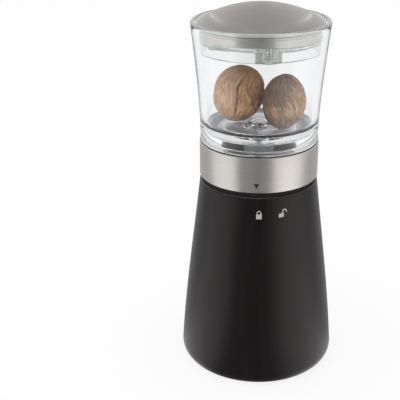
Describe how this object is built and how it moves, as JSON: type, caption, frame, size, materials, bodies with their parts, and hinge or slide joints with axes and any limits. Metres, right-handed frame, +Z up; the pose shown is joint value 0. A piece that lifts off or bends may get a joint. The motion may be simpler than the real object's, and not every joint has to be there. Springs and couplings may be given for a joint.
{
  "type": "nutmeg mill",
  "caption": "Hand-turned nutmeg mill: waisted black wooden body, steel band, clear flared reservoir and a domed steel lid.",
  "frame": {"origin": "middle of the wooden body's underside, on the surface that the mill stands on", "axes": "+Z up along the axis that the reservoir turns about, -Y towards the index mark on the front, +X to the right as seen from the front"},
  "size_m": [0.0768, 0.0768, 0.18],
  "materials": {
    "black_wood": "satin, stained black",
    "black_plastic": "fine matt",
    "polished_steel": "polished",
    "brushed_steel": "brushed round the axis",
    "brass": "turned",
    "clear_acrylic": "clear, polished",
    "pale_plastic": "satin",
    "spring_steel": "drawn wire",
    "nut_shell": "dry, furrowed",
    "black_rubber": "matt"
  },
  "bodies": {
    "base": {"wooden_body": "black_wood", "grater_ring": "black_plastic", "grater_plate": "polished_steel", "chamber_lining": "polished_steel", "bayonet_socket": "black_plastic", "grater_screw_1": "polished_steel", "grater_screw_2": "polished_steel", "grater_screw_3": "polished_steel"},
    "head": {"steel_band": "brushed_steel", "head_core": "black_plastic", "bearing_bush": "brass"},
    "knob": {"reservoir": "clear_acrylic", "drive_tube": "polished_steel", "top_screw": "polished_steel", "thrust_washer": "pale_plastic", "retaining_clip": "spring_steel", "spring_seat": "polished_steel", "stop_pin": "polished_steel", "claw_spring": "spring_steel", "nutmeg_left": "nut_shell", "nutmeg_right": "nut_shell"},
    "claw": {"claw_stem": "polished_steel", "claw_hub": "black_plastic", "claw_nut": "polished_steel", "claw_prong_1": "polished_steel", "claw_prong_2": "polished_steel", "claw_prong_3": "polished_steel"},
    "lid": {"lid_dome": "brushed_steel", "lid_seal": "black_rubber", "lid_pan": "brushed_steel", "lid_plug": "clear_acrylic", "lid_screw_1": "polished_steel", "lid_screw_2": "polished_steel", "lid_screw_3": "polished_steel"}
  },
  "joints": [
    {"name": "band_lock", "type": "hinge", "parent": "base", "child": "head", "pos_m": [0, 0, 0.0984], "axis": [0, 0, 1], "range_deg": [0, 23.5]},
    {"name": "reservoir_turn", "type": "hinge", "parent": "head", "child": "knob", "pos_m": [0, 0, 0.1155], "axis": [0, 0, 1], "continuous": true},
    {"name": "claw_press", "type": "slide", "parent": "knob", "child": "claw", "axis": [0, 0, 1], "range_m": [0, 0.028], "stiffness_N_per_m": 150, "springref_m": -0.02, "deforming": ["claw_spring"]},
    {"name": "lid_lift", "type": "slide", "parent": "knob", "child": "lid", "axis": [0, 0, 1], "range_m": [0, 0.04]}
  ]
}
